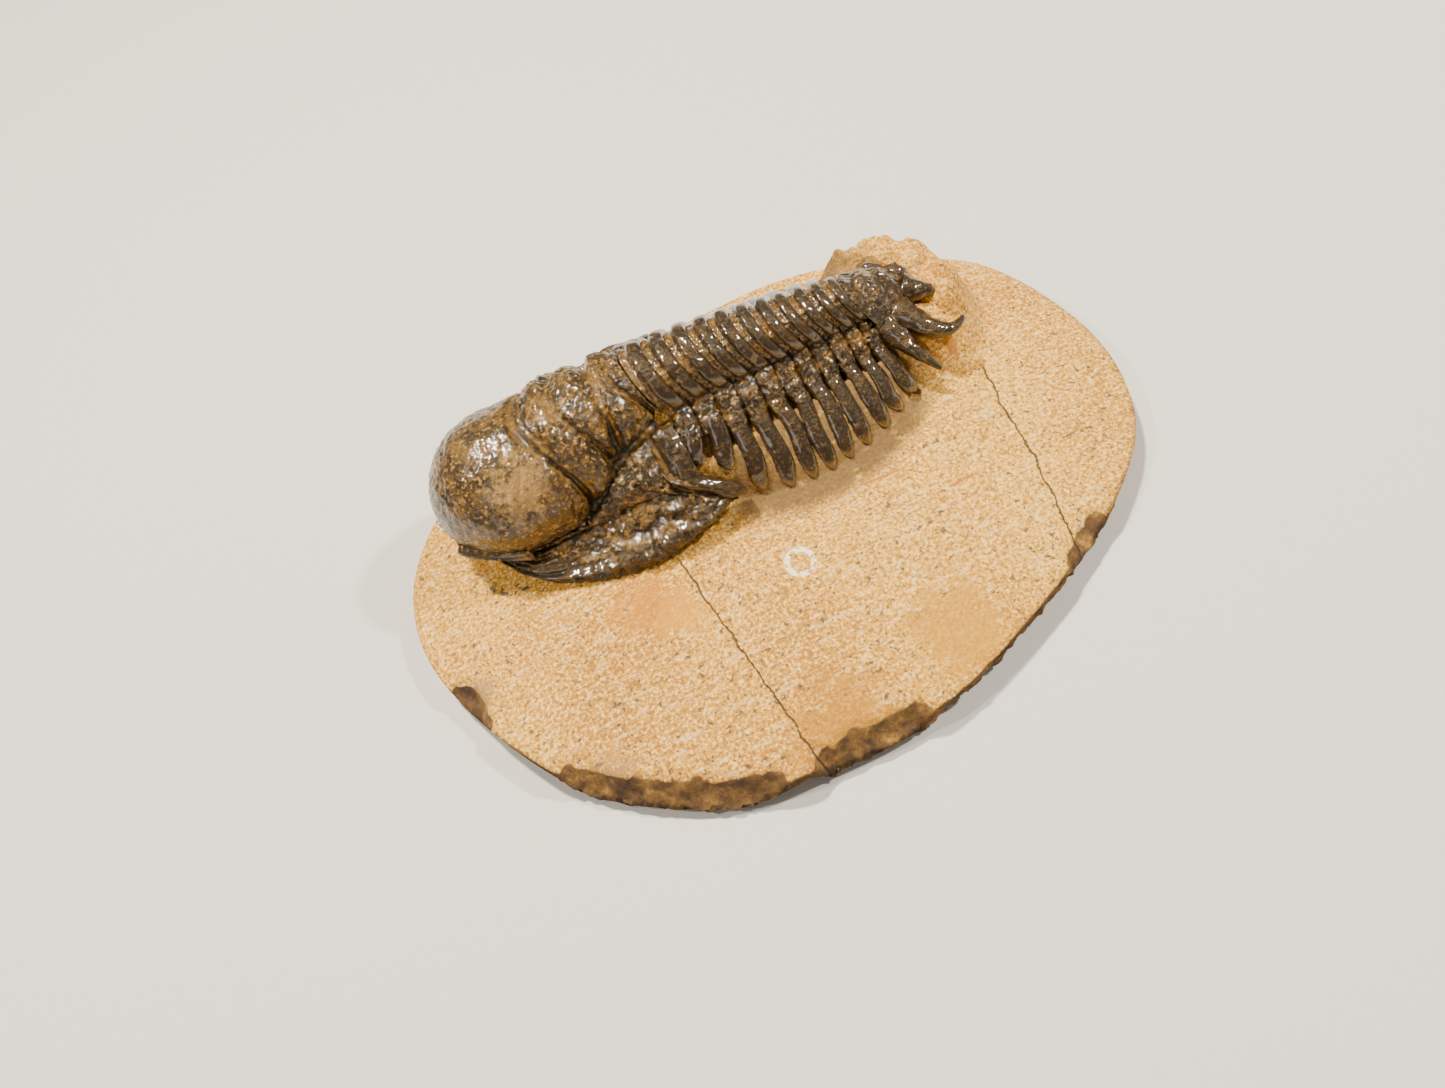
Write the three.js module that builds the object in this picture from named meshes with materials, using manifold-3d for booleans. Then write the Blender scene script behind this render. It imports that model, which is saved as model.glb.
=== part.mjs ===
// A cheirurid trilobite, 76 mm long, prepared out of a slab of limestone.
//
// Frame: millimetres, +Z up. The origin is the bottom centre of the slab. The
// animal lies along X with its head at -X and its tail at +X, left side to -Y.
// Its shell is built as the plates that it grew as: the cranidium, two free
// cheeks, the rostral plate, eleven thoracic segments and the tail shield.

import * as THREE from 'three';
import { mergeVertices } from 'three/addons/utils/BufferGeometryUtils.js';
import Module from 'manifold-3d';

const wasm = await Module();
wasm.setup();

const { clamp, lerp, smoothstep } = THREE.MathUtils;

// ---------------------------------------------------------------- sizes, mm

const SHELL = 1.0; // thickness of every plate
const GAP = 0.3; // clearance between neighbouring solids
const MIDLINE_Y = 14.3; // where the animal's midline runs
const TAIL_BEND = 2.0; // sideways drift of the midline at the tail
const SEGMENTS = 11;
const THORAX_FRONT = -8.4;
const FIRST_PITCH = 3.2; // length of the first thoracic segment
const LAST_PITCH = 2.4; // length of the last one
const MEAN_PITCH = (FIRST_PITCH + LAST_PITCH) / 2;
const RING_BOW = 2.6; // how far each axial ring arches forward at its crest
const HEAD_FRONT = -41.5;
const LOBE_CENTRE = -29.0; // widest station of the frontal lobe
const SLAB_RIM_Z = 4.6;
const SLAB_CROWN = 3.9; // rise of the slab from its rim to its middle

// Outline of the slab, counter-clockwise, at its rim.
const SLAB_OUTLINE = [
  [51.5, 3], [47, 20], [38, 29], [22, 36], [2, 37], [-20, 34.5], [-38, 27.5], [-47.5, 18.5],
  [-51.4, 8], [-50, -3.5], [-43.2, -18.2], [-35.6, -27.3], [-22, -35.2], [-8, -37], [6, -36.4],
  [22, -31], [38, -22.6], [48.4, -12],
];

// ---------------------------------------------------------------- helpers

// Smooth interpolation through a short list of [station, value] stops.
function along(stops, x) {
  if (x <= stops[0][0]) return stops[0][1];
  for (let i = 1; i < stops.length; i += 1) {
    const [x0, v0] = stops[i - 1];
    const [x1, v1] = stops[i];
    if (x <= x1) return lerp(v0, v1, (x - x0) / (x1 - x0));
  }
  return stops[stops.length - 1][1];
}

function midline(x) {
  const back = Math.max(0, x - 5) / 24;
  return MIDLINE_Y + TAIL_BEND * back * back;
}

function weld(geometry) {
  geometry.deleteAttribute('normal');
  geometry.deleteAttribute('uv');
  return mergeVertices(geometry, 1e-4);
}

// A closed plate: a box whose grid is wrapped over surface(u, v, depth), with u
// and v from 0 to 1 and depth 0 on the outer face and 1 on the inner face.
function plate(alongCuts, acrossCuts, surface) {
  const geometry = weld(new THREE.BoxGeometry(1, 1, 1, alongCuts, acrossCuts, 1));
  const position = geometry.attributes.position;
  for (let i = 0; i < position.count; i += 1) {
    const u = position.getX(i) + 0.5;
    const v = position.getY(i) + 0.5;
    const depth = 0.5 - position.getZ(i);
    const point = surface(u, v, depth);
    position.setXYZ(i, point[0], point[1], point[2]);
  }
  geometry.computeVertexNormals();
  return geometry;
}

function toSolid(geometry) {
  return new wasm.Manifold(new wasm.Mesh({
    numProp: 3,
    vertProperties: new Float32Array(geometry.attributes.position.array),
    triVerts: new Uint32Array(geometry.index.array),
  }));
}

function toGeometry(solid) {
  const mesh = solid.getMesh();
  const geometry = new THREE.BufferGeometry();
  geometry.setAttribute('position', new THREE.BufferAttribute(new Float32Array(mesh.vertProperties), 3));
  geometry.setIndex(new THREE.BufferAttribute(new Uint32Array(mesh.triVerts), 1));
  geometry.computeVertexNormals();
  return geometry;
}

function union(geometries) {
  let solid = toSolid(geometries[0]);
  for (const geometry of geometries.slice(1)) solid = solid.add(toSolid(geometry));
  return solid;
}

// ---------------------------------------------------------------- thorax

// Station of segment boundary s (0 is the back of the head, 11 the tail shield).
function stationX(s) {
  const pitchDrop = (FIRST_PITCH - LAST_PITCH) / (SEGMENTS - 1);
  return THORAX_FRONT + FIRST_PITCH * s - (pitchDrop * s * (s - 1)) / 2;
}

// Cross-section of the body at segment coordinate s.
function bodySection(s) {
  const back = clamp(s / SEGMENTS, 0, 1.4);
  const spread = s < 5 ? 0.19 * (5 - s) ** 2 : 0.15 * (s - 5) ** 2;
  const axis = 5.8 - 2.2 * back;
  return {
    axis, // half width of the axial rings
    rise: 6.0 - 1.5 * back, // height of the crest over the furrow
    furrowZ: 20.8 - 1.2 * back - 2.8 * back * back,
    hinge: axis + 4.6 - 1.6 * back, // outer end of the knobbly inner pleura
    hingeDrop: 3.6 - 0.6 * back,
    tip: 16.7 - spread, // how far out the pleural spines reach
    tipZ: 9.2 - 0.2 * back,
    sweep: lerp(-0.8, 0.3, Math.min(1, s / 4)) + 2.9 * Math.max(0, (s - 5) / 6) ** 1.5, // of the tips
  };
}

// Outline of the section at lateral parameter w, 0 on the crest and 1 at the
// tip: [sideways, height], moved inwards by the depth.
const RING_SHARE = 0.4;
const HINGE_SHARE = 0.6;

function sectionPoint(section, w, depth) {
  if (w <= RING_SHARE) {
    const angle = (w / RING_SHARE) * Math.PI / 2;
    const squash = Math.cos(angle) ** 0.9;
    return [
      (section.axis - depth * 0.5 * Math.sin(angle)) * Math.sin(angle),
      section.furrowZ - depth * (1 - 0.15 * Math.sin(angle)) + section.rise * squash,
    ];
  }
  const hingeZ = section.furrowZ - section.hingeDrop;
  if (w <= HINGE_SHARE) {
    const k = (w - RING_SHARE) / (HINGE_SHARE - RING_SHARE);
    return [
      lerp(section.axis - 0.5 * depth, section.hinge - 0.55 * depth, k),
      lerp(section.furrowZ - 0.85 * depth, hingeZ - 0.95 * depth, k) + 0.5 * Math.sin(k * Math.PI),
    ];
  }
  const k = (w - HINGE_SHARE) / (1 - HINGE_SHARE);
  const bulge = 0.6 * Math.sin(k * Math.PI);
  return [
    lerp(section.hinge, section.tip, k) + 0.78 * bulge - lerp(0.55, 0.85, k) * depth,
    lerp(hingeZ, section.tipZ, k) + 0.62 * bulge - lerp(0.95, 0.6, k) * depth,
  ];
}

// Shift along X at w: rings bow forward, pleurae sweep backward.
function bodyShift(section, w) {
  if (w <= RING_SHARE) return -RING_BOW * (1 - (w / RING_SHARE) ** 2);
  const k = (w - RING_SHARE) / (1 - RING_SHARE);
  return section.sweep * k ** 1.6;
}

function bodyPoint(s, signedW, depth, lift) {
  const section = bodySection(s);
  const w = Math.abs(signedW);
  const [side, height] = sectionPoint(section, w, depth);
  const x = stationX(s) + bodyShift(section, w);
  return [x, midline(x) + Math.sign(signedW) * side, height + lift];
}

// The first three pairs of pleural spines are cut short behind the head.
const FRONT_REACH = [0.66, 0.75, 0.95];

// One segment. A clearance above 0 gives the socket that it lies in.
function thoracicSegment(index, clearance = 0) {
  const pitch = stationX(index + 1) - stationX(index);
  return plate(2, 32, (u, v, depth) => {
    const signedW = 2 * v - 1;
    const w = Math.abs(signedW);
    // The pleura narrows from the full band to a blade, then to a blunt tip.
    const blade = smoothstep(w, HINGE_SHARE - 0.06, HINGE_SHARE + 0.06);
    const taper = lerp(1, 0.5, smoothstep(w, 0.86, 1));
    const halfBand = lerp(0.5 - GAP / 2 / pitch, 0.35 * taper, blade) + clearance / pitch;
    const reach = index < 3 ? FRONT_REACH[index] : 1 + 0.06 * clearance;
    const crown = depth < 0.5 ? 0.45 * (1 - (2 * u - 1) ** 2) + 1.2 * clearance : 0;
    const s = index + 0.5 + (2 * u - 1) * halfBand;
    const inward = depth * (SHELL + 1.5 * clearance);
    return bodyPoint(s, signedW * lerp(1, reach, blade), inward, crown);
  });
}

// ---------------------------------------------------------------- head

// Stops run from the front of the head to its back.
const GLABELLA_HALF_WIDTH = [[-29, 10.4], [-24, 10.3], [-21, 9.4], [-17.5, 8.2], [-14, 7.0], [-10.5, 6.0], [-8.4, 5.8]];
const GLABELLA_FURROW_Z = [[-29, 14.6], [-24, 14.8], [-21, 16], [-17.5, 18.2], [-14, 19.8], [-10.5, 20.6], [-8.4, 20.8]];
const GLABELLA_CREST_Z = [[-29, 25.6], [-25, 25.4], [-22, 26.2], [-17, 26.9], [-12, 26.8], [-8.4, 26.4]];
const CHEEK_WIDTH = [[-26, 0.6], [-21, 1.8], [-18, 4.0], [-15, 5.6], [-12.5, 9.4], [-10, 10.6], [-8.4, 10.6]];
const GLABELLA_SHARE = 0.62; // part of the plate's width taken by the glabella
const SPINE_LENGTH = 4.6; // genal spine, behind the rear edge of the cheek

function headPoint(u, signedW, depth) {
  const w = Math.abs(signedW);
  const onGlabella = Math.min(w / GLABELLA_SHARE, 1);
  const outer = clamp((w - GLABELLA_SHARE) / (1 - GLABELLA_SHARE), 0, 1);
  const rear = THORAX_FRONT - GAP - RING_BOW * (1 - onGlabella ** 2) + 0.7 * outer
    + SPINE_LENGTH * smoothstep(outer, 0.72, 1);
  const station = lerp(THORAX_FRONT - GAP, HEAD_FRONT, u);
  const forward = clamp((LOBE_CENTRE - station) / (LOBE_CENTRE - HEAD_FRONT), 0, 0.985);
  const close = Math.sqrt(1 - forward * forward);
  const x = lerp(rear, HEAD_FRONT, u) - (1 - u) * u * 3.0 * (1 - onGlabella ** 2);

  const undercut = smoothstep(u, 0.25, 0.55) * 0.42;
  const angle = onGlabella * (Math.PI / 2 + undercut);
  const furrowZ = along(GLABELLA_FURROW_Z, station);
  const rise = along(GLABELLA_CREST_Z, station) - furrowZ;
  const halfWidth = along(GLABELLA_HALF_WIDTH, station) * close;
  const drop = Math.cos(angle) > 0 ? rise : 7.0;
  let side = (halfWidth - depth * close * Math.sin(angle)) * Math.sin(angle);
  let height = furrowZ + (drop * close - depth * close) * Math.cos(angle);

  const cheek = along(CHEEK_WIDTH, station) * outer;
  side += cheek * 0.86 - outer * 0.2 * depth;
  height += -cheek * 0.66 + 0.9 * Math.sin(outer * Math.PI) * Math.min(1, cheek) - outer * depth;
  return [x, midline(x) + Math.sign(signedW) * side, height];
}

function cranidium() {
  // u runs forwards here, so v is flipped to keep the faces pointing out.
  return plate(19, 32, (u, v, depth) => headPoint(u, 1 - 2 * v, depth * SHELL));
}

// The lower rim of the head: the free cheeks and, between them, the rostral plate.
const RIM_TOP = new THREE.CatmullRomCurve3([
  new THREE.Vector3(-8.4, 15.4, 13.0), new THREE.Vector3(-11, 13.1, 14.6),
  new THREE.Vector3(-14, 12.2, 14.2), new THREE.Vector3(-18, 11.6, 12.9),
  new THREE.Vector3(-24, 10.4, 11.1), new THREE.Vector3(-31, 10.1, 10.6),
  new THREE.Vector3(-36.4, 7.9, 10.8), new THREE.Vector3(-39.4, 4.2, 11.4),
  new THREE.Vector3(-40.2, 0, 11.8),
]);
const RIM_FOOT = new THREE.CatmullRomCurve3([
  new THREE.Vector3(-8.2, 17.0, 11.2), new THREE.Vector3(-11.5, 17.5, 10.2),
  new THREE.Vector3(-15.5, 17.7, 9.4), new THREE.Vector3(-20, 17.2, 8.7),
  new THREE.Vector3(-26, 15.4, 8.2), new THREE.Vector3(-32.4, 11.8, 8.0),
  new THREE.Vector3(-36.8, 7.4, 8.0), new THREE.Vector3(-38.8, 3.8, 8.1),
  new THREE.Vector3(-39.4, 0, 8.2),
]);
const SUTURE = 0.7; // where the rostral plate starts along the rim

function rimPoint(k, down, depth, side) {
  const top = RIM_TOP.getPoint(k);
  const foot = RIM_FOOT.getPoint(k);
  const bulge = Math.sin(down * Math.PI) * 0.9 * (1 - depth);
  const x = lerp(top.x, foot.x, down) - bulge * 0.6 * k + depth * 0.5 * k;
  const out = lerp(top.y, foot.y, down) + bulge * (1 - 0.5 * k) - depth * 0.8 * (1 - k);
  const z = lerp(top.z, foot.z, down) + bulge * 0.3 - depth * 0.35;
  return [x, midline(x) + side * out, z];
}

function freeCheek(side) {
  return plate(14, 4, (u, v, depth) => {
    const k = side < 0 ? u * (SUTURE - 0.02) : (1 - u) * (SUTURE - 0.02);
    return rimPoint(k, v, depth, side);
  });
}

function rostralPlate() {
  return plate(14, 3, (u, v, depth) => {
    const span = 2 * u - 1;
    const k = lerp(1, SUTURE + 0.02, Math.abs(span));
    return rimPoint(k, v, depth, span < 0 ? -1 : 1);
  });
}

// ---------------------------------------------------------------- tail shield

const TAIL_LENGTH = 8.0;

function tailAxis() {
  return plate(7, 16, (u, v, depth) => {
    const section = bodySection(SEGMENTS);
    const signedAngle = (2 * v - 1) * 1.45;
    const close = Math.sqrt(1 - (u * 0.97) ** 2);
    const ring = 0.25 * Math.abs(Math.sin(u * Math.PI * 4));
    const half = (section.hinge * 0.8 - depth * 0.6 * SHELL) * close;
    const crest = (section.rise + 1.8 + ring) * close - depth * SHELL;
    const start = stationX(SEGMENTS) + GAP - RING_BOW * Math.max(0, Math.cos(signedAngle * 1.3));
    const x = lerp(start, stationX(SEGMENTS) + TAIL_LENGTH, u);
    const side = half * Math.sin(signedAngle);
    return [x, midline(x) + side, section.furrowZ - 2.2 - 1.4 * u + crest * Math.cos(signedAngle)];
  });
}

// Root, middle and tip of the three spines on one side: [x, sideways, z].
const TAIL_SPINES = [
  [[23.8, 4.2, 14.9], [25.2, 9.1, 13.4], [27.7, 13.0, 11.0]],
  [[26.2, 3.4, 15.2], [29.9, 10.6, 13.0], [34.0, 8.2, 12.5]],
  [[28.6, 1.2, 15.4], [32.8, 3.7, 14.3], [35.4, 3.4, 13.6]],
];

function tailSpine(points, side, extra) {
  const vectors = points.map(([x, out, z]) => new THREE.Vector3(x, midline(x) + side * out, z));
  const curve = new THREE.QuadraticBezierCurve3(...vectors);
  const spine = weld(new THREE.CylinderGeometry(1, 1, 1, 7, 6));
  const position = spine.attributes.position;
  const up = new THREE.Vector3(0, 0, 1);
  for (let i = 0; i < position.count; i += 1) {
    const k = position.getY(i) + 0.5;
    const radius = lerp(1.35, 0.35, k ** 1.3) + extra;
    const centre = curve.getPoint(k);
    const ahead = curve.getTangent(k);
    const across = new THREE.Vector3().crossVectors(up, ahead).normalize();
    const above = new THREE.Vector3().crossVectors(across, ahead);
    centre.addScaledVector(across, position.getX(i) * radius);
    centre.addScaledVector(above, position.getZ(i) * radius * 0.8);
    position.setXYZ(i, centre.x, centre.y, centre.z);
  }
  return spine;
}

function tailSpines(extra) {
  return [-1, 1].flatMap((side) => TAIL_SPINES.map((points) => tailSpine(points, side, extra)));
}

function tailShield() {
  return toGeometry(union([tailAxis(), ...tailSpines(0)]));
}

// ---------------------------------------------------------------- limestone

const OUTLINE_CENTRE = [0, 6];
const RINGS = 20;
const SECTORS = 76;
const outline = new THREE.CatmullRomCurve3(
  SLAB_OUTLINE.map(([x, y]) => new THREE.Vector3(x, y, 0)), true);
const OUTLINE_SAMPLES = outline.getPoints(360).map((p) => ({
  angle: Math.atan2(p.y - OUTLINE_CENTRE[1], p.x - OUTLINE_CENTRE[0]),
  reach: Math.hypot(p.x - OUTLINE_CENTRE[0], p.y - OUTLINE_CENTRE[1]),
}));

function outlineReach(angle) {
  let best = OUTLINE_SAMPLES[0];
  let miss = Infinity;
  for (const sample of OUTLINE_SAMPLES) {
    const off = Math.abs(Math.atan2(Math.sin(sample.angle - angle), Math.cos(sample.angle - angle)));
    if (off < miss) {
      miss = off;
      best = sample;
    }
  }
  return best.reach;
}

// Stone that fills the shell from below, lower than the plates' inner faces.
const CORE_BACK = 32;

function thoraxCoreZ(x, side) {
  const section = bodySection(clamp((x - THORAX_FRONT) / MEAN_PITCH, 0, 12));
  if (x > CORE_BACK || side > section.tip) return 0;
  const hingeZ = section.furrowZ - section.hingeDrop;
  const under = along([[section.axis, section.furrowZ], [section.hinge, hingeZ],
    [section.tip - 1.4, section.tipZ], [section.tip, section.tipZ - 3]], side);
  const roof = section.rise * Math.sqrt(Math.max(0, 1 - (side / (section.axis - 1.8)) ** 2));
  const sink = 2.9 + 6 * smoothstep(x, 24, CORE_BACK);
  return under - sink + Math.max(0, roof - 0.4);
}

function headCoreZ(x, side) {
  const station = Math.max(x, LOBE_CENTRE);
  const forward = (LOBE_CENTRE - x) / (LOBE_CENTRE - HEAD_FRONT - 6.6);
  if (forward >= 1) return 0;
  const close = Math.sqrt(1 - Math.max(0, forward) ** 2);
  const half = (along(GLABELLA_HALF_WIDTH, station) - 3.8) * close;
  const foot = along(GLABELLA_FURROW_Z, station) - 3.4;
  const top = along(GLABELLA_CREST_Z, station) - 3.2;
  if (side < half) return foot + (top - foot) * close * Math.sqrt(1 - (side / half) ** 2);
  const brim = (1.6 + 0.6 * along(CHEEK_WIDTH, station)) * close;
  return side < half + brim ? foot - (side - half) * 0.9 : 0;
}

function coreZ(x, y) {
  const side = Math.abs(y - midline(x));
  return x > THORAX_FRONT - 1.5 ? thoraxCoreZ(x, side) : headCoreZ(x, side);
}

// Slab surface: a low crown, and a bank of stone round the tail shield.
const BANK = { x: 28.8, y: 18.6, long: 10.8, wide: 13.2, height: 6.2 };

function slabZ(x, y, reachShare) {
  const crown = SLAB_RIM_Z + SLAB_CROWN * (1 - reachShare ** 2.2);
  const toTail = Math.hypot((x - BANK.x) / BANK.long, (y - BANK.y) / BANK.wide);
  return crown + BANK.height * smoothstep(1.15 - toTail, 0, 0.4);
}

function limestone() {
  const ringShares = [];
  for (let i = 1; i <= RINGS; i += 1) ringShares.push((i / RINGS) ** 0.9);
  const profile = [new THREE.Vector2(0, 0), new THREE.Vector2(0.985, 0), new THREE.Vector2(1, 0.35)];
  for (const share of ringShares.slice().reverse()) profile.push(new THREE.Vector2(share, 1));
  profile.push(new THREE.Vector2(0, 1));
  const geometry = weld(new THREE.LatheGeometry(profile, SECTORS));
  const position = geometry.attributes.position;
  for (let i = 0; i < position.count; i += 1) {
    const px = position.getX(i);
    const pz = position.getZ(i);
    const level = position.getY(i);
    const share = Math.hypot(px, pz);
    const angle = Math.atan2(-pz, px);
    const reach = outlineReach(angle) * (share > 0.9999 && level > 0.9 ? 0.985 : share);
    const x = OUTLINE_CENTRE[0] + reach * Math.cos(angle);
    const y = OUTLINE_CENTRE[1] + reach * Math.sin(angle);
    const top = Math.max(slabZ(x, y, share), coreZ(x, y));
    const z = level > 0.9 ? top : level * SLAB_RIM_Z;
    position.setXYZ(i, x, y, z);
  }
  const buried = tailSpines(1.5 * GAP);
  for (let i = 2; i < SEGMENTS; i += 1) buried.push(thoracicSegment(i, GAP));
  return toGeometry(toSolid(geometry).subtract(union(buried)));
}

// ---------------------------------------------------------------- assembly

const stone = new THREE.MeshStandardMaterial({ color: '#b99f78', roughness: 0.9, metalness: 0 });
const shell = new THREE.MeshStandardMaterial({ color: '#2f2618', roughness: 0.3, metalness: 0 });
const headShell = new THREE.MeshStandardMaterial({ color: '#5d4a30', roughness: 0.4, metalness: 0 });

const group = new THREE.Group();

function add(name, geometry, material) {
  const mesh = new THREE.Mesh(geometry, material);
  mesh.name = name;
  group.add(mesh);
}

add('limestone_matrix', limestone(), stone);
add('cranidium', cranidium(), headShell);
add('free_cheek_left', freeCheek(-1), headShell);
add('free_cheek_right', freeCheek(1), headShell);
add('rostral_plate', rostralPlate(), headShell);
for (let i = 0; i < SEGMENTS; i += 1) {
  add(`thoracic_segment_${String(i + 1).padStart(2, '0')}`, thoracicSegment(i), shell);
}
add('pygidium', tailShield(), shell);

export default group;
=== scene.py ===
# %% [markdown]
# # A trilobite on its slab of limestone
#
# The animal is a cheirurid trilobite about 75 mm long. Its shell has turned to
# calcite, and a preparator has scraped the limestone away round it until it
# stands proud of the slab. This notebook builds the stone and every plate of
# the shell, then the finishes, the light and the camera.
#
# Each plate starts as a flat tile, cut into a grid, and is then wrapped over
# the body by a formula, the way a sheet of clay is pressed over a former. One
# formula for the whole body keeps neighbouring plates in line.

# %% Load the frame
import bisect
import math

import bmesh
import bpy
from mathutils import Matrix, Vector, noise


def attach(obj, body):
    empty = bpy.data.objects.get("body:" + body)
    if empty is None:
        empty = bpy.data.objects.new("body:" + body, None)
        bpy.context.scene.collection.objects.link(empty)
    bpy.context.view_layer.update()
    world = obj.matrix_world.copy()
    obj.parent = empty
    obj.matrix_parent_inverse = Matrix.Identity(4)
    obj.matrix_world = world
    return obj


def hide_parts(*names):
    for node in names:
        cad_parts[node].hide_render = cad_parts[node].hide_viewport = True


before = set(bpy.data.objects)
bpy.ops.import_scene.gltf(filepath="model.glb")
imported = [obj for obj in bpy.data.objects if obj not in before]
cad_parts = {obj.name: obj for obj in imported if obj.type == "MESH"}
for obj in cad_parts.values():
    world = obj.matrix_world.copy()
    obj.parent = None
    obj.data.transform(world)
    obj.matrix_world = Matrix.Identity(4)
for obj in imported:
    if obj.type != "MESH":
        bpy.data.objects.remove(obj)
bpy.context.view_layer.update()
MM = 0.001
print("nodes:", sorted(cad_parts))

# %% [markdown]
# ## Camera
#
# The camera comes first, so that every later step can be looked at. It looks
# down steeply from close by, and is rolled to one side.

# %% Camera
CAMERA_PLACE = (-0.01813, -0.07840, 0.127)
CAMERA_HEADING = math.radians(-7.0)
CAMERA_TILT = math.radians(32.0)
CAMERA_ROLL = math.radians(-20.0)

camera_data = bpy.data.cameras.new("camera")
camera_data.lens = 26.66
camera_data.sensor_width = 36.0
camera_data.clip_start = 0.005
camera = bpy.data.objects.new("camera", camera_data)
camera.matrix_world = (Matrix.Translation(CAMERA_PLACE) @ Matrix.Rotation(CAMERA_HEADING, 4, "Z")
                       @ Matrix.Rotation(CAMERA_TILT, 4, "X") @ Matrix.Rotation(CAMERA_ROLL, 4, "Z"))
bpy.context.scene.collection.objects.link(camera)
bpy.context.scene.camera = camera

# %% [markdown]
# ## Small tools
#
# `along` reads a value off a short list of stops, `step` is an eased switch
# from 0 to 1, and `rough` is layered noise with a grain size in millimetres.
# All shapes are worked out in millimetres and turned to metres at the end.

# %% Number helpers
def lerp(a, b, k):
    return a + (b - a) * k


def clamp(x, low=0.0, high=1.0):
    return max(low, min(high, x))


def step(x, low, high):
    k = clamp((x - low) / (high - low))
    return k * k * (3 - 2 * k)


def hump(x, centre, width):
    return math.exp(-(((x - centre) / width) ** 2))


def along(stops, x):
    if x <= stops[0][0]:
        return stops[0][1]
    for (x0, v0), (x1, v1) in zip(stops, stops[1:]):
        if x <= x1:
            return lerp(v0, v1, step(x, x0, x1) * 0.5 + (x - x0) / (x1 - x0) * 0.5)
    return stops[-1][1]


def rough(point, grain_mm, octaves=3):
    return noise.fractal(point / grain_mm, 0.9, 2.1, octaves)


def smooth_between(p0, p1, p2, p3, f):
    """A point between p1 and p2 on a smooth curve through all four."""
    return 0.5 * (2 * p1 + (p2 - p0) * f + (2 * p0 - 5 * p1 + 4 * p2 - p3) * f * f
                  + (3 * p1 - p0 - 3 * p2 + p3) * f ** 3)


print("half way up a step:", step(0.5, 0.0, 1.0))

# %% [markdown]
# ## The body's measures
#
# The midline runs along X with the head at -X. A trilobite's back has three
# lobes: a raised axis down the middle and a flank, or pleural lobe, on each
# side. `body_section` gives the cross-section at any segment.

# %% Driving dimensions, in millimetres
MIDLINE_Y = 14.3
TAIL_BEND = 2.0
SEGMENTS = 11
THORAX_FRONT = -8.4
FIRST_PITCH = 3.2
LAST_PITCH = 2.4
MEAN_PITCH = (FIRST_PITCH + LAST_PITCH) / 2
RING_BOW = 2.6
HEAD_FRONT = -41.4
LOBE_CENTRE = -29.0
SLAB_RIM_Z = 4.6
SLAB_CROWN = 3.9
RING_SHARE = 0.4
HINGE_SHARE = 0.6
WIDEST = 5


def midline(x):
    return MIDLINE_Y + TAIL_BEND * (max(0.0, x - 5) / 24) ** 2


def station_x(s):
    drop = (FIRST_PITCH - LAST_PITCH) / (SEGMENTS - 1)
    return THORAX_FRONT + FIRST_PITCH * s - drop * s * (s - 1) / 2


def station_s(x):
    s = (x - THORAX_FRONT) / MEAN_PITCH
    for _ in range(3):
        s -= (station_x(s) - x) / MEAN_PITCH
    return s


def body_section(s):
    back = clamp(s / SEGMENTS, 0.0, 1.4)
    narrowing = (0.19 if s < WIDEST else 0.15) * (s - WIDEST) ** 2
    axis = 5.8 - 2.2 * back
    furrow_z = 20.8 - 1.2 * back - 2.8 * back * back
    return {
        "axis": axis,
        "rise": 6.0 - 1.5 * back,
        "furrow_z": furrow_z,
        "hinge": axis + 4.6 - 1.6 * back,
        "hinge_z": furrow_z - 3.6 + 0.6 * back,
        "tip": 16.7 - narrowing,
        "tip_z": 9.2 - 0.2 * back,
        "sweep": lerp(-0.8, 0.3, clamp(s / 4)) + 2.9 * max(0.0, (s - WIDEST) / 6) ** 1.5,
    }


def section_point(sec, w):
    if w <= RING_SHARE:
        angle = w / RING_SHARE * math.pi / 2
        arch = max(0.0, math.cos(angle)) ** 0.9
        return sec["axis"] * math.sin(angle), sec["furrow_z"] + sec["rise"] * arch
    if w <= HINGE_SHARE:
        k = (w - RING_SHARE) / (HINGE_SHARE - RING_SHARE)
        return (lerp(sec["axis"], sec["hinge"], k),
                lerp(sec["furrow_z"], sec["hinge_z"], k) + 0.5 * math.sin(k * math.pi))
    k = (w - HINGE_SHARE) / (1 - HINGE_SHARE)
    bulge = 0.6 * math.sin(min(k, 1.0) * math.pi)
    return (lerp(sec["hinge"], sec["tip"], k) + 0.78 * bulge,
            lerp(sec["hinge_z"], sec["tip_z"], k) + 0.62 * bulge)


def section_frame(sec, w):
    side, height = section_point(sec, w)
    side0, height0 = section_point(sec, max(0.0, w - 0.01))
    side1, height1 = section_point(sec, w + 0.01)
    run = Vector((side1 - side0, height1 - height0))
    run.normalize()
    return side, height, -run.y, run.x


def body_shift(sec, w):
    if w <= RING_SHARE:
        return -RING_BOW * (1 - (w / RING_SHARE) ** 2)
    return sec["sweep"] * ((w - RING_SHARE) / (1 - RING_SHARE)) ** 1.6


print("thorax from", THORAX_FRONT, "to", round(station_x(SEGMENTS), 1), "mm")

# %% [markdown]
# ## The tile
#
# `tile` makes a grid with `create_grid`, extrudes it once so that it has a
# top and an underside, and moves every vertex by a wrapping formula. The
# formula gets `u` and `v` from 0 to 1 and the depth, 0 on top and 1 below. It
# also gives two numbers that the finishes read later as attributes: `relief`,
# how high the spot stands, and `shade`, how dark and smooth the shell is.

# %% Make a tile and wrap it
def new_piece(name, bm, **layers):
    mesh = bpy.data.meshes.new(name)
    bm.to_mesh(mesh)
    bm.free()
    for key, values in layers.items():
        layer = mesh.attributes.new(key, "FLOAT", "POINT")
        layer.data.foreach_set("value", values)
    for face in mesh.polygons:
        face.use_smooth = True
    piece = bpy.data.objects.new(name, mesh)
    bpy.context.scene.collection.objects.link(piece)
    return piece


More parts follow.
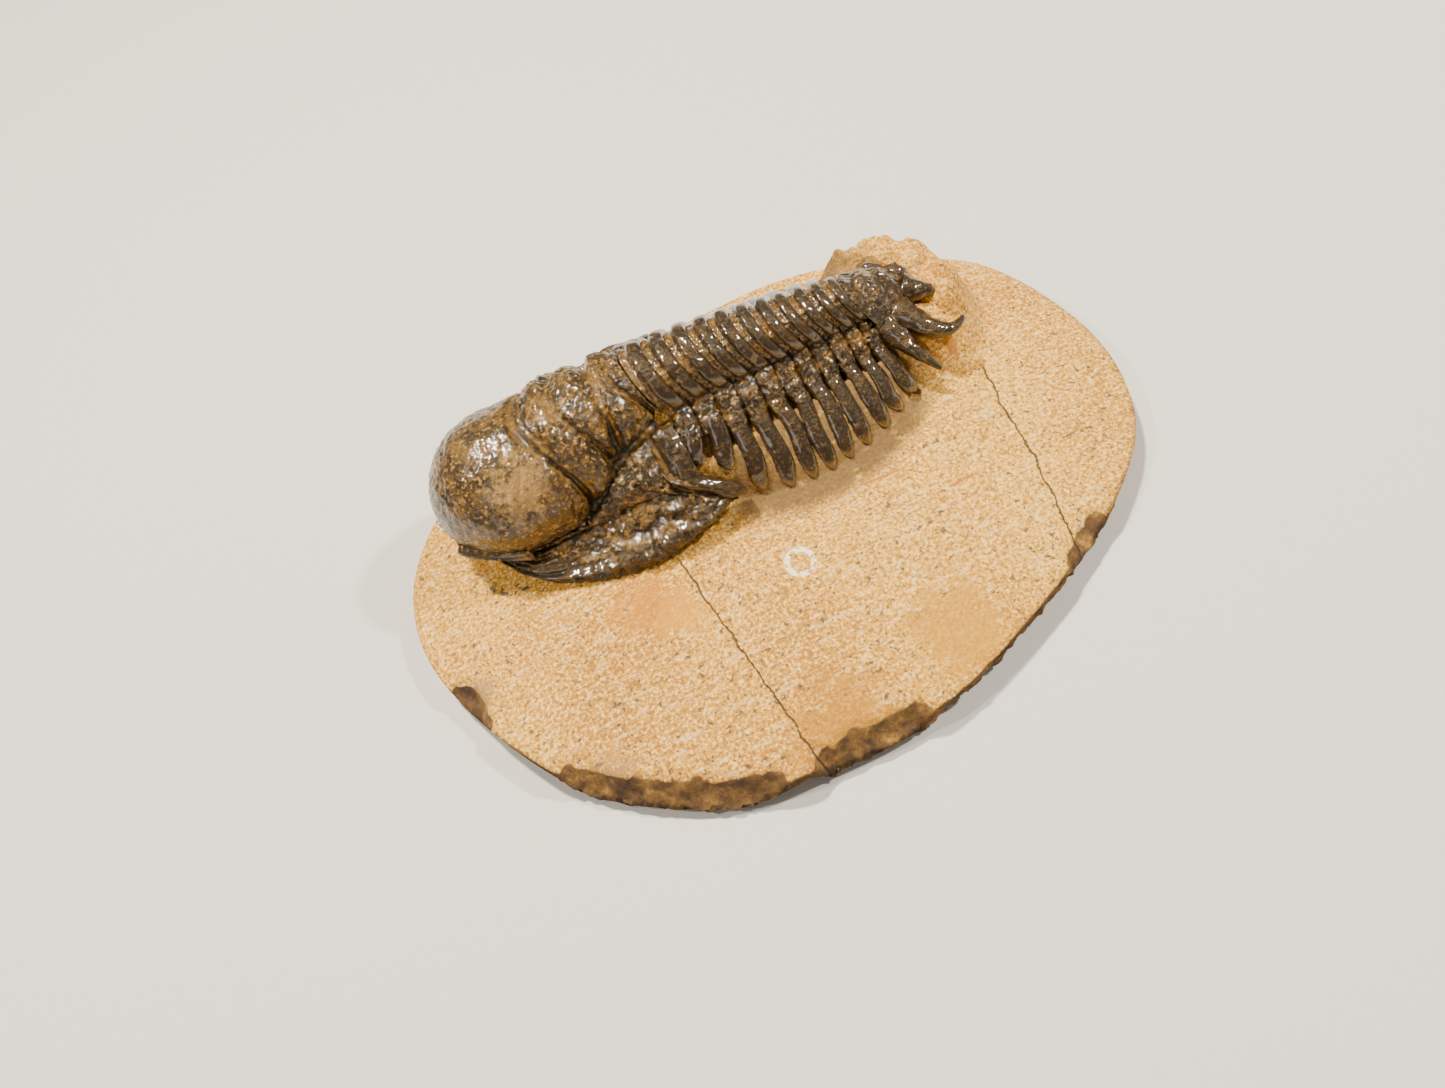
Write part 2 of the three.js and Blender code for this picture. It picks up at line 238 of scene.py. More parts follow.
def tile(name, cuts_u, cuts_v, wrap):
    bm = bmesh.new()
    bmesh.ops.create_grid(bm, x_segments=cuts_u, y_segments=cuts_v, size=0.5)
    under = bmesh.ops.extrude_face_region(bm, geom=bm.faces[:], use_keep_orig=True)
    for item in under["geom"]:
        if isinstance(item, bmesh.types.BMVert):
            item.co.z = -1.0
    bm.verts.index_update()
    reliefs, shades = [], []
    for vert in bm.verts:
        place, relief, shade = wrap(vert.co.x + 0.5, vert.co.y + 0.5, -vert.co.z)
        vert.co = place * MM
        reliefs.append(relief)
        shades.append(shade)
    bmesh.ops.recalc_face_normals(bm, faces=bm.faces[:])
    return new_piece(name, bm, relief=reliefs, shade=shades)


# %% [markdown]
# ## The thorax
#
# Each of the eleven segments is one plate: an arched axial ring, a knobbly
# inner flank, and a smooth blade that hangs down on each side. The front of
# each ring is a lower, rough band that once slid under its neighbour. The
# blades are convex and lie in the stone with only their backs showing.
#
# The knobs could be sculpted by hand, one by one. Here each is a hump in a
# height formula. All eleven segments share it and differ only in their place
# along the body and in the noise, as the real ones do.

# %% Relief of one segment
def ring_relief(u, w, spot):
    band = step(u, 0.30, 0.40) * (1 - step(u, 0.93, 1.0))
    arch = math.sqrt(max(0.0, 1 - ((u - 0.66) / 0.36) ** 2))
    scaly = 0.26 * rough(spot, 0.75) + 0.16 * rough(spot, 0.4, 2)
    worn = min(0.0, rough(spot + Vector((9, 0, 0)), 2.6, 2) + 0.15) * 0.45
    furrow = -0.6 * hump(w, RING_SHARE, 0.02)
    return -0.40 + band * (0.50 + 0.42 * arch + worn) + (1 - band) * scaly + furrow


def flank_relief(u, k, spot):
    knob = 0.60 * hump(u, 0.30, 0.2) * hump(k, 0.25, 0.26)
    knob += 0.66 * hump(u, 0.66, 0.22) * hump(k, 0.74, 0.26)
    seam = -0.35 * (hump(u, 0.0, 0.07) + hump(u, 1.0, 0.07))
    cell = noise.voronoi(spot / 1.25)[0][0]
    craters = 0.38 * (step(cell, 0.10, 0.30) - step(cell, 0.34, 0.60))
    return knob + seam + craters + 0.4 * rough(spot, 0.85) + 0.2 * rough(spot, 0.4, 2) - 0.1


def blade_relief(u, k, spot):
    across = max(0.0, 1 - (2 * u - 1) ** 2)
    sunk = 0.28 + 0.25 * step(k, 0.65, 1.0)
    return 0.80 * across ** 0.5 - sunk + 0.05 * rough(spot, 0.9, 2)


# %% Wrap one segment
FRONT_REACH = (0.7, 0.8, 0.97)
DEEPEST_GROOVE = -1.1
SEGMENT_UNDERSIDE = -1.5


def segment_wrap(index):
    pitch = station_x(index + 1) - station_x(index)
    reach = FRONT_REACH[index] if index < len(FRONT_REACH) else 1.0

    def wrap(u, v, depth):
        signed = 2 * v - 1
        w = abs(signed)
        side_sign = -1 if signed < 0 else 1
        blade = step(w, HINGE_SHARE - 0.04, HINGE_SHARE + 0.04)
        k = clamp((w - HINGE_SHARE) / (1 - HINGE_SHARE))
        swell = 0.40 + 0.05 * math.sin(math.pi * clamp(k * 1.1))
        half = lerp(0.5, swell * math.sqrt(1 - 0.95 * clamp((k - 0.80) / 0.20) ** 2), blade)
        s = index + 0.5 + (2 * u - 1) * half
        sec = body_section(s)
        w_real = w * lerp(1.0, reach, blade)
        side, height, n_side, n_up = section_frame(sec, w_real)
        x = station_x(s) + body_shift(sec, w_real)
        spot = Vector((x, side_sign * (side + 40), height))
        x += 0.25 * blade * pitch * noise.noise(Vector((index * 3.1, w * 5.0, side_sign * 4.0)))
        on_flank = step(w, RING_SHARE - 0.03, RING_SHARE + 0.02)
        inner = clamp((w - RING_SHARE) / (HINGE_SHARE - RING_SHARE))
        relief = lerp(ring_relief(u, w, spot), flank_relief(u, inner, spot), on_flank)
        if side_sign > 0:
            relief -= on_flank * (0.5 + 0.6 * max(0.0, relief))
        relief = max(lerp(relief, blade_relief(u, k, spot), blade), DEEPEST_GROOVE)
        band = step(u, 0.32, 0.42) * (1 - on_flank)
        lift = relief if depth < 0.5 else SEGMENT_UNDERSIDE
        y = midline(x) + side_sign * (side + lift * n_side)
        tip = blade * step(k, 0.72, 1.0)
        smooth = max(band, blade * (1 - 0.7 * tip))
        return Vector((x, y, height + lift * n_up)), relief - 0.9 * tip, smooth

    return wrap


# %% Make the eleven segments
SHELL_PIECES = []


def keep(piece, node):
    SHELL_PIECES.append(piece)
    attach(piece, "root")
    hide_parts(node)


for index in range(SEGMENTS):
    piece = tile(f"segment_{index + 1:02d}_shell", 14, 230, segment_wrap(index))
    keep(piece, f"thoracic_segment_{index + 1:02d}")
print("segments:", len(SHELL_PIECES), "with", len(SHELL_PIECES[0].data.vertices), "vertices each")

# %% [markdown]
# ## The cranidium
#
# The middle of the head is one plate. Its raised part, the glabella, swells
# forward into a bulb that overhangs the stone. Three pairs of furrows cross
# it, and a fourth sets off the ring at the nape. On each side a pitted cheek
# slopes down to a smooth dark border, which runs back into a short spine.
#
# It could be sculpted from a ball. A wrapped tile is used so that its back
# edge meets the first segment, and so that every furrow is a curve with a
# depth and a width that can be changed.

# %% Head outline, from its front to its back
# pairs of x and a measure at that x, in mm
GLABELLA_HALF_WIDTH = [(-29, 10.4), (-24, 10.3), (-21, 9.4), (-17.5, 8.2), (-14, 7.0), (-10.5, 6.0),
                       (-8.4, 5.8)]
GLABELLA_FURROW_Z = [(-29, 14.6), (-24, 14.8), (-21, 16), (-17.5, 18.2), (-14, 19.8), (-10.5, 20.6),
                     (-8.4, 20.8)]
GLABELLA_CREST_Z = [(-29, 25.4), (-25, 25.2), (-22, 26.0), (-17, 26.7), (-12, 26.6), (-8.4, 26.2)]
CHEEK_WIDTH = [(-31, 0.04), (-26, 0.3), (-21, 1.8), (-18, 4.0), (-15, 5.6), (-12.5, 9.4), (-10, 10.6),
               (-8.4, 10.6)]
GLABELLA_SHARE = 0.62
SPINE_LENGTH = 4.6
HEAD_BACK = THORAX_FRONT - 0.1


def head_base(u, signed):
    w = abs(signed)
    on_glabella = min(w / GLABELLA_SHARE, 1.0)
    outer = clamp((w - GLABELLA_SHARE) / (1 - GLABELLA_SHARE))
    rear = HEAD_BACK - RING_BOW * (1 - on_glabella ** 2) + 0.7 * outer
    rear += SPINE_LENGTH * step(outer, 0.72, 1.0)
    station = lerp(HEAD_BACK, HEAD_FRONT, u)
    forward = clamp((LOBE_CENTRE - station) / (LOBE_CENTRE - HEAD_FRONT), 0.0, 0.9995)
    close = math.sqrt(1 - forward * forward)
    x = lerp(rear, HEAD_FRONT, u) - (1 - u) * u * 3.0 * (1 - on_glabella ** 2)
    angle = on_glabella * (math.pi / 2 + step(u, 0.25, 0.55) * 0.42)
    furrow_z = along(GLABELLA_FURROW_Z, station)
    rise = along(GLABELLA_CREST_Z, station) - furrow_z
    drop = rise if math.cos(angle) > 0 else 7.0
    side = along(GLABELLA_HALF_WIDTH, station) * close * math.sin(angle)
    height = furrow_z + drop * close * math.cos(angle)
    cheek = along(CHEEK_WIDTH, station) * outer * step(close, 0.05, 0.6)
    side += cheek * 0.92
    height += 0.9 * math.sin(outer * math.pi) * min(1.0, cheek) - cheek * 0.66
    height -= 1.5 * outer ** 3 * min(1.0, cheek / 5)
    return Vector((x, (1 if signed > 0 else -1) * side, height)), on_glabella, outer


# %% Relief of the head
def furrow(gap, width, depth):
    return -depth * hump(gap, 0.0, width)


def head_relief(at, on_glabella, outer, u, spot):
    x = at.x
    side = abs(at.y)
    on_flank = step(on_glabella, 0.25, 0.75)
    crossing = 1 - step(on_glabella, 0.93, 1.0)
    third = furrow(x - (-26.8 + 0.056 * side * side), 0.6, lerp(0.9, 1.6, on_flank))
    third += furrow(x - (-25.5 + 0.054 * side * side), 0.25, 0.5)
    second = furrow(x - (-21.6 + 0.07 * side * side), 0.65, lerp(0.7, 1.4, on_flank))
    first = furrow(x - (-15.3 - 0.01 * side * side), 0.6, lerp(0.7, 1.4, on_flank))
    nape = furrow(x - (-13.8 + 0.12 * side * side), 0.55, lerp(0.9, 1.2, on_flank))
    boss = 0.9 * hump(x, -13.2, 1.8) * hump(side, 5.4, 1.7)
    lobes = 0.5 * hump(x, -18.6, 1.7) + 0.45 * hump(x, -23.3 + 0.05 * side * side, 1.3)
    relief = (third + second + first + nape + lobes) * crossing + boss
    wrinkle = rough(Vector((spot.x * 1.7, spot.y * 0.6, spot.z * 0.6)), 1.6)
    behind_lobe = step(x, -27, -24)
    relief += lerp(0.06, 0.30, behind_lobe) * wrinkle * (1 - outer)
    relief += 0.12 * rough(spot, 3.2, 2) + lerp(0.15, 0.24, behind_lobe) * rough(spot, 0.6, 2)
    groove = hump(on_glabella, 1.0, 0.045) * hump(outer, 0.0, 0.09)
    relief -= 1.0 * groove
    border = step(u, 0.095, 0.125)
    pits = noise.voronoi(spot / 0.95)[0][0]
    cheek_skin = 0.6 * (step(pits, 0.05, 0.5) - 0.6) + 0.5 * rough(spot, 0.9)
    cheek = step(outer, 0.03, 0.12)
    relief += cheek * border * cheek_skin * 0.9
    relief -= cheek * 0.6 * hump(u, 0.108, 0.014)
    relief += cheek * (1 - border) * 0.5 * math.sin(math.pi * clamp(u / 0.1))
    eye = hump(u, 0.19, 0.035) * hump(outer, 0.86, 0.16)
    relief += eye * 0.9
    return relief, cheek * (1 - border)


# %% Wrap the head: lift each point along the way the surface faces
NUDGE = 0.004
FORWARD = Vector((-1, 0, 0))


def head_facing(u, signed):
    ahead = head_base(min(1.0, u + NUDGE), signed)[0]
    behind = head_base(max(0.0, u - NUDGE), signed)[0]
    left = head_base(u, max(-1.0, signed - NUDGE))[0]
    right = head_base(u, min(1.0, signed + NUDGE))[0]
    facing = (right - left).cross(ahead - behind)
    if facing.length < 1e-9:
        return FORWARD
    return facing.normalized().lerp(FORWARD, step(u, 0.94, 0.985)).normalized()


def head_wrap(u, v, depth):
    signed = 1 - 2 * v
    at, on_glabella, outer = head_base(u, signed)
    spot = at + Vector((0, 60, 0))
    relief, shade = head_relief(at, on_glabella, outer, u, spot)
    rim = step(abs(signed), 0.985, 1.0) * step(u, 0.2, 0.3)
    relief = max(relief, -1.3)
    lift = relief * (1 - rim) if depth < 0.5 else lerp(-1.6, -0.9, rim)
    place = at + head_facing(u, signed) * lift
    return Vector((place.x, midline(place.x) + place.y, place.z)), relief, shade


# %% Make the cranidium
cranidium = tile("cranidium_shell", 150, 200, head_wrap)
keep(cranidium, "cranidium")
print("cranidium:", len(cranidium.data.vertices), "vertices")

# %% [markdown]
# ## The rim of the head
#
# Two free cheeks carry the lower edge of the head, and a small rostral plate
# joins them at the front. All three are ruled between a top line, tucked
# under the cranidium, and the edge of the head. Fine raised lines, called
# terrace lines, run along them. A bevelled curve would give an even tube, but
# a strip ruled between two curves can be deep at the cheek and shallow at the
# front.

# %% Two guide curves
RIM_TOP = [(-5.6, 14.2, 12.2), (-10, 12.8, 14.4), (-14, 11.6, 14.6), (-18, 10.7, 13.4), (-24, 9.6, 11.7),
           (-31, 9.5, 11.0), (-35.4, 6.6, 11.7), (-36.9, 3.6, 12.6), (-37.3, 0, 12.9)]
RIM_FOOT = [(-4.6, 15.2, 11.4), (-10.5, 17.2, 10.4), (-15.5, 17.7, 9.4), (-20, 17.2, 8.7), (-26, 15.4, 8.2),
            (-32.2, 11.6, 8.0), (-35.3, 7.0, 8.2), (-36.4, 3.6, 8.8), (-36.7, 0, 9.2)]
SUTURE = 0.7
SUTURE_LAP = 0.004


def on_curve(points, k):
    place = clamp(k) * (len(points) - 1)
    i = min(int(place), len(points) - 2)
    p0 = Vector(points[max(i - 1, 0)])
    p1 = Vector(points[i])
    p2 = Vector(points[i + 1])
    p3 = Vector(points[min(i + 2, len(points) - 1)])
    return smooth_between(p0, p1, p2, p3, place - i)


def rim_wrap(k, down, depth, sign):
    top = on_curve(RIM_TOP, k)
    foot = on_curve(RIM_FOOT, k)
    bulge = math.sin(down * math.pi) * 0.9 * (1 - depth)
    x = lerp(top.x, foot.x, down) - bulge * 0.6 * k + depth * 0.5 * k
    side = lerp(top.y, foot.y, down) + bulge * (1 - 0.5 * k) - depth * 0.8 * (1 - k)
    z = lerp(top.z, foot.z, down) + bulge * 0.3 - depth * 0.35
    spot = Vector((x, sign * side, z))
    front = step(k, 0.35, 0.6)
    hollow = -1.5 * hump(k, 0.30, 0.12) * hump(down, 0.46, 0.16)
    ridge = 0.7 * hump(down, 0.8, 0.14)
    bump = 0.7 * hump(k, 0.2, 0.07) * hump(down, 0.22, 0.16)
    lines = 0.28 * front * math.sin(down * 26 + 1.5 * rough(spot, 4.0, 2))
    skin = 0.75 * rough(spot, 1.3) + 0.35 * rough(spot, 0.5, 2)
    relief = hollow + ridge + bump + lines + skin * (1 - 0.5 * front)
    if depth < 0.5:
        side += relief * 0.8 * (1 - 0.5 * k)
        x -= relief * 0.7 * k
        z += relief * 0.35
    return Vector((x, midline(x) + sign * side, z)), relief, step(down, 0.5, 0.7)


# %% Make the free cheeks and the rostral plate
for sign, word in ((-1, "left"), (1, "right")):
    cheek = tile(f"free_cheek_{word}_shell", 130, 40,
                 lambda u, v, depth, sign=sign: rim_wrap(u * (SUTURE + SUTURE_LAP), v, depth, sign))
    keep(cheek, f"free_cheek_{word}")


def rostral_wrap(u, v, depth):
    span = 2 * u - 1
    return rim_wrap(lerp(1, SUTURE - SUTURE_LAP, abs(span)), v, depth, -1 if span < 0 else 1)


rostral = tile("rostral_plate_shell", 110, 30, rostral_wrap)
keep(rostral, "rostral_plate")
print("rim pieces:", [piece.name for piece in SHELL_PIECES[-3:]])

# %% [markdown]
# ## The tail shield
#
# The pygidium is a short domed plate with a few faint rings and three pairs
# of spines that curve backward. The dome is a tile. The spines could be
# cones, but real ones bend, so each is a ring of points carried along a curve
# by repeated extrusion. All are joined in one mesh, as they grew.

# %% Dome and spines
TAIL_LENGTH = 8.0
TAIL_SPINES = [
    # x, distance from the midline and height in mm of root, bend and tip
    [(23.8, 4.2, 15.1), (25.2, 9.1, 13.8), (27.9, 13.0, 11.4)],
    [(26.2, 3.4, 15.6), (29.8, 12.2, 13.6), (33.8, 9.6, 14.0)],
    [(28.6, 1.2, 15.8), (31.4, 3.8, 15.2), (33.6, 3.6, 14.6)],
]
RIGHT_SINK = (0.0, 2.8, 4.4)
SPINE_SIDES = 20
SPINE_STEPS = 26


def tail_wrap(u, v, depth):
    sec = body_section(SEGMENTS)
    angle = (2 * v - 1) * 1.45
    close = math.sqrt(1 - (u * 0.985) ** 2)
    spot = Vector((u * 8, angle * 4, 3.0))
    rings = 0.4 * math.sin(u * math.pi * 7) * (1 - u) * hump(angle, 0.0, 0.8)
    relief = rings + 0.32 * rough(spot, 1.1) + 0.1 * rough(spot, 0.4, 2)
    lift = relief if depth < 0.5 else -1.0
    half = sec["hinge"] * 0.82 * close + lift * math.sin(abs(angle))
    crest = (sec["rise"] + 1.9) * close + lift
    start = station_x(SEGMENTS) - 0.1 - RING_BOW * max(0.0, math.cos(angle * 1.3))
    x = lerp(start, station_x(SEGMENTS) + TAIL_LENGTH, u)
    y = midline(x) + half * math.sin(angle)
    return Vector((x, y, sec["furrow_z"] - 2.2 - 1.4 * u + crest * math.cos(angle))), relief, 0.7


def spine_points(points, sign):
    """Root, bend and tip. On the right, bend and tip sink into the stone."""
    sink = RIGHT_SINK if sign > 0 else (0.0, 0.0, 0.0)
    return [Vector((x, midline(x) + sign * out, z - low)) for (x, out, z), low in zip(points, sink)]


def add_spine(bm, points, sign):
    p0, p1, p2 = spine_points(points, sign)
    ring = bmesh.ops.create_circle(bm, cap_ends=True, radius=1.0, segments=SPINE_SIDES)["verts"]
    for i in range(SPINE_STEPS + 1):
        k = i / SPINE_STEPS
        centre = p0 * (1 - k) ** 2 + p1 * 2 * k * (1 - k) + p2 * k * k
        ahead = ((p1 - p0) * (1 - k) + (p2 - p1) * k).normalized()
        across = Vector((0, 0, 1)).cross(ahead).normalized()
        above = ahead.cross(across)
        radius = lerp(2.2, 0.35, k ** 0.9)
        for j, vert in enumerate(ring):
            turn = math.tau * j / SPINE_SIDES
            spot = centre + across * math.cos(turn) * radius + above * math.sin(turn) * radius * 0.85
            vert.co = centre + (spot - centre) * (1 + 0.16 * rough(spot, 0.9))
        if i < SPINE_STEPS:
            edges = [e for e in {e for v in ring for e in v.link_edges}
                     if e.verts[0] in ring and e.verts[1] in ring]
            grown = bmesh.ops.extrude_edge_only(bm, edges=edges)["geom"]
            fresh = {v for v in grown if isinstance(v, bmesh.types.BMVert)}
            ring = [next(o for e in v.link_edges for o in e.verts if o in fresh) for v in ring]
    bmesh.ops.contextual_create(bm, geom=ring)


def make_pygidium():
    dome = tile("pygidium_shell", 60, 120, tail_wrap)
    bm = bmesh.new()
    for sign in (-1, 1):
        for points in TAIL_SPINES:
            add_spine(bm, points, sign)
    for vert in bm.verts:
        vert.co *= MM
    bmesh.ops.recalc_face_normals(bm, faces=bm.faces[:])
    count = len(bm.verts)
    spines = new_piece("tail_spines", bm, relief=[0.3] * count, shade=[0.9] * count)
    with bpy.context.temp_override(active_object=dome, selected_editable_objects=[dome, spines]):
        bpy.ops.object.join()
    return dome


pygidium = make_pygidium()
keep(pygidium, "pygidium")
print("pygidium:", len(pygidium.data.vertices), "vertices")

# %% [markdown]
# ## The slab
#
# The stone is one solid. A profile line, from the middle of the underside out
# to the rim and back over the top to the middle, is spun round with `spin`,
# like a plate on a wheel. Then each point is moved: sideways to the slab's
# real outline, and up to the height of the scraped stone at that spot. A grid
# cut to the outline would leave a jagged rim. Rings follow the rim, and they
# can lie closest together where the blades need it.

# %% Outline of the slab
SLAB_OUTLINE = [
    (51.4, 3), (47, 20), (38, 29), (22, 36), (2, 37), (-20, 34.5), (-38, 27.5), (-47.5, 18.5),
    (-51.3, 8), (-50, -3.5), (-43.2, -18.2), (-35.6, -27.3), (-22, -35.2), (-8, -36.9), (6, -36.4),
    (22, -31), (38, -22.6), (48.4, -12),
]
SLAB_CENTRE = Vector((-3.0, 13.0))
POINTS_PER_SPAN = 24


def closed_curve(points):
    found = []
    count = len(points)
    for i in range(count):
        four = [Vector(points[(i + j) % count]) for j in (-1, 0, 1, 2)]
        found += [smooth_between(*four, part / POINTS_PER_SPAN) for part in range(POINTS_PER_SPAN)]
    return found


REACHES = sorted((math.atan2(p.y - SLAB_CENTRE.y, p.x - SLAB_CENTRE.x), (p - SLAB_CENTRE).length)
                 for p in closed_curve(SLAB_OUTLINE))
ANGLES = [angle for angle, _ in REACHES]


def outline_reach(angle):
    after = bisect.bisect(ANGLES, angle)
    if after in (0, len(ANGLES)):
        return 0.5 * (REACHES[0][1] + REACHES[-1][1])
    (a0, r0), (a1, r1) = REACHES[after - 1], REACHES[after]
    return lerp(r0, r1, (angle - a0) / max(1e-9, a1 - a0))


print("outline:", len(REACHES), "points")

# %% [markdown]
# The height of the stone has three parts: the low crown of the slab, the core
# that still fills the shell, level with the sides of the blades, and the bank
# left standing round the tail. Where core meets crown the preparator's tool
# left a hollow cove. The three could be three meshes joined by a Boolean, but
# one height for each spot gives one clean skin with no seams.

# %% Height of the stone
BANK = {"x": 28.8, "y": 18.6, "long": 10.8, "wide": 13.2, "height": 6.2}
PILLOWS = [
    # x, y, radius and height in mm of the lumps left between the tail spines
    (33.4, 12.4, 1.9, 2.6), (36.4, 17.2, 2.2, 2.2), (29.6, 6.4, 1.5, 1.3),
    (33.0, 21.5, 3.2, 2.2), (28.4, 25.5, 3.0, 2.4), (24.0, 27.5, 2.0, 1.0),
]
COVE = 3.2


def flank_height(x, side):
    s = station_s(x)
    w = 0.5
    for _ in range(3):
        sec = body_section(clamp(s, 0.0, 12.0))
        if side <= sec["axis"]:
            w = RING_SHARE * math.asin(clamp(side / sec["axis"])) / (math.pi / 2)
        elif side <= sec["hinge"]:
            w = lerp(RING_SHARE, HINGE_SHARE, (side - sec["axis"]) / (sec["hinge"] - sec["axis"]))
        else:
            k = (side - sec["hinge"]) / (sec["tip"] - sec["hinge"])
            k -= 0.47 * math.sin(min(k, 1.0) * math.pi) / (sec["tip"] - sec["hinge"])
            w = lerp(HINGE_SHARE, 1.0, k)
        s = station_s(x - body_shift(sec, min(w, 1.0)))
    sec = body_section(clamp(s, 0.0, 12.0))
    return section_point(sec, min(w, 1.0))[1], (side - sec["tip"]), sec


def head_core(x, side):
    station = max(x, LOBE_CENTRE)
    forward = (LOBE_CENTRE - x) / (LOBE_CENTRE - HEAD_FRONT - 3.2)
    if forward >= 1:
        return 0.0, 9.0
    close = math.sqrt(1 - max(0.0, forward) ** 2)
    half = (along(GLABELLA_HALF_WIDTH, station) - 2.2) * close
    brim = (0.6 + 0.72 * along(CHEEK_WIDTH, station)) * close
    foot = along(GLABELLA_FURROW_Z, station) - 2.6
    top = along(GLABELLA_CREST_Z, station) - 3.0
    if side < half:
        return foot + (top - foot) * close * math.sqrt(1 - (side / half) ** 2), side - half - brim
    return foot - (side - half) * 0.72, side - half - brim


def slab_height(x, y, share, spot):
    crown = SLAB_RIM_Z + SLAB_CROWN * (1 - share ** 2.2)
    crown += 0.16 * rough(spot, 9.0, 2) + 0.05 * rough(spot, 1.6, 2)
    to_tail = math.hypot((x - BANK["x"]) / BANK["long"], (y - BANK["y"]) / BANK["wide"])
    lumps = 1 + 0.26 * rough(spot, 3.8) + 0.07 * rough(spot, 1.2, 2)
    crown += (BANK["height"] + 0.6) * step(1.19 - to_tail, 0.0, 0.50) * lumps
    for px, py, radius, height in PILLOWS:
        crown += height * math.exp(-(((x - px) ** 2 + (y - py) ** 2) / radius ** 2) ** 1.5)
    return crown


def stone_height(x, y, share):
    """Height of the stone, and the share of painted shade there, between the blades and round their tips.
    """
    spot = Vector((x, y, 11.0))
    slab = slab_height(x, y, share, spot)
    side = abs(y - midline(x))
    if x > THORAX_FRONT - 1.0:
        flank, beyond, sec = flank_height(x, side)
        fade = step(x, 22, 31)
        level = flank - 0.1 + 0.22 * rough(spot, 0.9) + 0.12 * rough(spot, 0.45, 2)
        level -= 2.2 * (1 - step(side, sec["hinge"] - 0.4, sec["hinge"] + 1.6))
        if beyond > 0:
            level = sec["tip_z"] - 0.3 * clamp(beyond)
        level -= fade * 16
        cove = step(beyond, -0.6, COVE)
        hollow = 0.5 * hump(beyond, COVE, 2.2) * (1 - fade)
        # painted shade: the stone under the thorax, between the blades and in the cove round their tips, is
        # marked to be painted darker and greyer
        painted_shade_share = (1 - step(beyond, 1.5, 5.0)) * (1 - fade) * step(x, THORAX_FRONT, THORAX_FRONT + 5)
        return lerp(max(level, slab), slab - hollow, cove), painted_shade_share
    level, beyond = head_core(x, side)
    cove = step(beyond, -0.3, 0.5)
    return lerp(max(level, slab), slab, cove), 0.0


# %% Spin the profile and place every point
SPIN_STEPS = 560
FOOTPRINT = (41.0, 18.5)
# Rings of points, as shares of the footprint: a few under the shell, close
# ones across the blades and the cove, and wider ones from there to the rim.
BLADE_SHARE = 0.48
COVE_SHARE = 1.0875
RIM_SHARE = COVE_SHARE + 0.95
INNER_SHARES = [BLADE_SHARE * i / 4 for i in range(1, 5)]
BLADE_SHARES = [lerp(BLADE_SHARE, COVE_SHARE, i / 45) for i in range(1, 46)]
OUTER_SHARES = [lerp(COVE_SHARE, RIM_SHARE, (i / 44) ** 1.1) for i in range(1, 45)]
SPIN_SHARES = INNER_SHARES + BLADE_SHARES + OUTER_SHARES


def place_on_slab(angle, share):
    reach = outline_reach(angle)
    a, b = FOOTPRINT
    print_reach = a * b / math.hypot(b * math.cos(angle), a * math.sin(angle))
    print_reach = min(print_reach, reach * 0.72)
    if share <= COVE_SHARE:
        radius = print_reach * share
    else:
        radius = lerp(print_reach * COVE_SHARE, reach, (share - COVE_SHARE) / (RIM_SHARE - COVE_SHARE))
    return (SLAB_CENTRE.x + radius * math.cos(angle), SLAB_CENTRE.y + radius * math.sin(angle),
            radius / reach)


CHIPS = [
    # x, y and radius in mm of each big flake off the rim, then its depth
    (-29.0, -31.0, 16.0, 2.6), (-4.0, -38.0, 9.0, 2.4), (-48.0, -8.0, 5.0, 1.2), (33.0, -27.0, 6.0, 0.8),
]


def chip_depth(x, y, out):
    """How far the top is flaked away at a spot near the rim, in mm."""
    ragged = 0.024 * rough(Vector((x, y, 3.0)), 6.0) + 0.006 * rough(Vector((x, y, 9.0)), 1.8, 2)
    inward = step(out + ragged, 0.938, 0.990)
    depth = 0.0
    for cx, cy, radius, drop in CHIPS:
        near = 1 - math.hypot(x - cx, y - cy) / radius
        depth = max(depth, drop * step(near, 0.0, 0.35) * inward)
    return depth


def broken(angle):
    """1 where the rim is freshly broken, toward -Y, and 0 where it is scraped."""
    turn = math.degrees(angle) % 360
    return step(turn, 205, 225) * (1 - step(turn, 300, 330))


# %% Profile and rim
RIM_EDGE = 0.35
BITE_RADIUS = 50.0


def slab_profile():
    """Shares of reach and height, from the middle below round to the middle above."""
    profile = [(0, 0), (RIM_SHARE * 0.5, 0), (RIM_SHARE * 0.96, 0)]
    profile += [(RIM_SHARE, 0.06 + 0.86 * i / 12) for i in range(13)]
    profile += [(share, 1.0) for share in reversed(SPIN_SHARES)]
    return profile + [(0, 1.0)]


